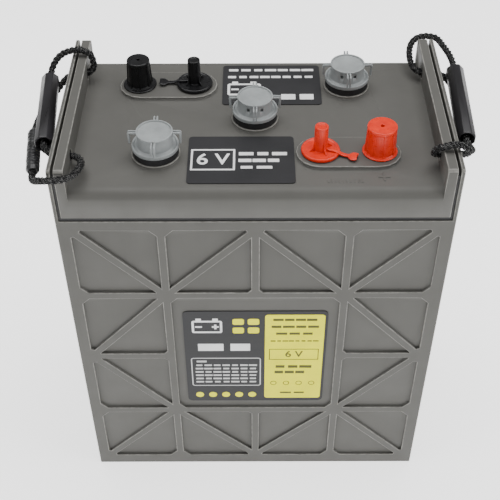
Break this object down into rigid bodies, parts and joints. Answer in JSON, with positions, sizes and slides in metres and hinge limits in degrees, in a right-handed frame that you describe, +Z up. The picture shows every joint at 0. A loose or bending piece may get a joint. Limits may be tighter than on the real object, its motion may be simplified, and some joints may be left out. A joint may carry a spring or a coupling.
{
  "type": "deep cycle battery",
  "caption": "Six-volt flooded deep cycle battery: ribbed case and lid, three vent caps, capped terminals and two rope handles.",
  "frame": {"origin": "middle of the jar's base, on the surface that the battery stands on", "axes": "+Z up, X along the battery's length with the positive terminals at +X, -Y out of the face that carries the label"},
  "size_m": [0.3423, 0.1887, 0.366],
  "materials": {
    "case_plastic": "moulded, slightly glossy",
    "black_rubber": "matt",
    "vent_plastic": "satin",
    "red_vinyl": "dipped, glossy",
    "black_vinyl": "dipped, glossy",
    "grip_plastic": "satin",
    "rope": "twisted yarn",
    "label_film": "glossy film",
    "lead": "cast, dull",
    "steel": "turned",
    "negative_plate": "porous",
    "positive_plate": "porous",
    "separator": "matt sheet",
    "inner_plastic": "satin"
  },
  "bodies": {
    "root": {"jar": "case_plastic", "lid": "case_plastic", "lid_seal": "black_rubber", "positive_plates_1": "positive_plate", "positive_plates_2": "positive_plate", "positive_plates_3": "positive_plate", "negative_plates_1": "negative_plate", "negative_plates_2": "negative_plate", "negative_plates_3": "negative_plate", "separators_1": "separator", "separators_2": "separator", "separators_3": "separator", "plate_guard_1": "inner_plastic", "plate_guard_2": "inner_plastic", "plate_guard_3": "inner_plastic", "cell_link_1": "lead", "cell_link_2": "lead", "positive_terminal": "lead", "positive_stud": "steel", "positive_post_seal": "black_rubber", "positive_stud_seal": "black_rubber", "negative_terminal": "lead", "negative_stud": "steel", "negative_post_seal": "black_rubber", "negative_stud_seal": "black_rubber", "front_label": "label_film", "lid_label_front": "label_film", "lid_label_rear": "label_film"},
    "vent_lift_1": {"vent_gasket_1": "black_rubber"},
    "vent_turn_1": {"vent_cap_1": "vent_plastic", "vent_baffle_1": "inner_plastic"},
    "vent_lift_2": {"vent_gasket_2": "black_rubber"},
    "vent_turn_2": {"vent_cap_2": "vent_plastic", "vent_baffle_2": "inner_plastic"},
    "vent_lift_3": {"vent_gasket_3": "black_rubber"},
    "vent_turn_3": {"vent_cap_3": "vent_plastic", "vent_baffle_3": "inner_plastic"},
    "positive_post_cap": {"positive_post_cap": "red_vinyl"},
    "positive_stud_cap": {"positive_stud_cap": "red_vinyl"},
    "negative_post_cap": {"negative_post_cap": "black_vinyl"},
    "negative_stud_cap": {"negative_stud_cap": "black_vinyl"},
    "left_handle": {"left_handle_grip": "grip_plastic", "left_handle_splice_sleeve": "black_rubber", "left_handle_rope": "rope"},
    "right_handle": {"right_handle_grip": "grip_plastic", "right_handle_splice_sleeve": "black_rubber", "right_handle_rope": "rope"}
  },
  "joints": [
    {"name": "vent_1_lift", "type": "slide", "parent": "root", "child": "vent_lift_1", "axis": [0, 0, 1], "range_m": [0, 0.06]},
    {"name": "vent_1_turn", "type": "hinge", "parent": "vent_lift_1", "child": "vent_turn_1", "pos_m": [-0.074, -0.0425, 0.3405], "axis": [0, 0, 1], "range_deg": [0, 90]},
    {"name": "vent_2_lift", "type": "slide", "parent": "root", "child": "vent_lift_2", "axis": [0, 0, 1], "range_m": [0, 0.06]},
    {"name": "vent_2_turn", "type": "hinge", "parent": "vent_lift_2", "child": "vent_turn_2", "pos_m": [0, 0.0015, 0.3405], "axis": [0, 0, 1], "range_deg": [0, 90]},
    {"name": "vent_3_lift", "type": "slide", "parent": "root", "child": "vent_lift_3", "axis": [0, 0, 1], "range_m": [0, 0.06]},
    {"name": "vent_3_turn", "type": "hinge", "parent": "vent_lift_3", "child": "vent_turn_3", "pos_m": [0.074, 0.0455, 0.3405], "axis": [0, 0, 1], "range_deg": [0, 90]},
    {"name": "positive_post_cap_pull", "type": "slide", "parent": "root", "child": "positive_post_cap", "axis": [0, 0, 1], "range_m": [0, 0.04]},
    {"name": "positive_stud_cap_pull", "type": "slide", "parent": "root", "child": "positive_stud_cap", "axis": [0, 0, 1], "range_m": [0, 0.04]},
    {"name": "negative_post_cap_pull", "type": "slide", "parent": "root", "child": "negative_post_cap", "axis": [0, 0, 1], "range_m": [0, 0.04]},
    {"name": "negative_stud_cap_pull", "type": "slide", "parent": "root", "child": "negative_stud_cap", "axis": [0, 0, 1], "range_m": [0, 0.04]},
    {"name": "left_handle_swing", "type": "hinge", "parent": "root", "child": "left_handle", "pos_m": [-0.133, 0, 0.354], "axis": [0, 1, 0], "range_deg": [0, 60], "deforming": ["left_handle_rope"]},
    {"name": "right_handle_swing", "type": "hinge", "parent": "root", "child": "right_handle", "pos_m": [0.133, 0, 0.354], "axis": [0, -1, 0], "range_deg": [0, 60], "deforming": ["right_handle_rope"]}
  ]
}
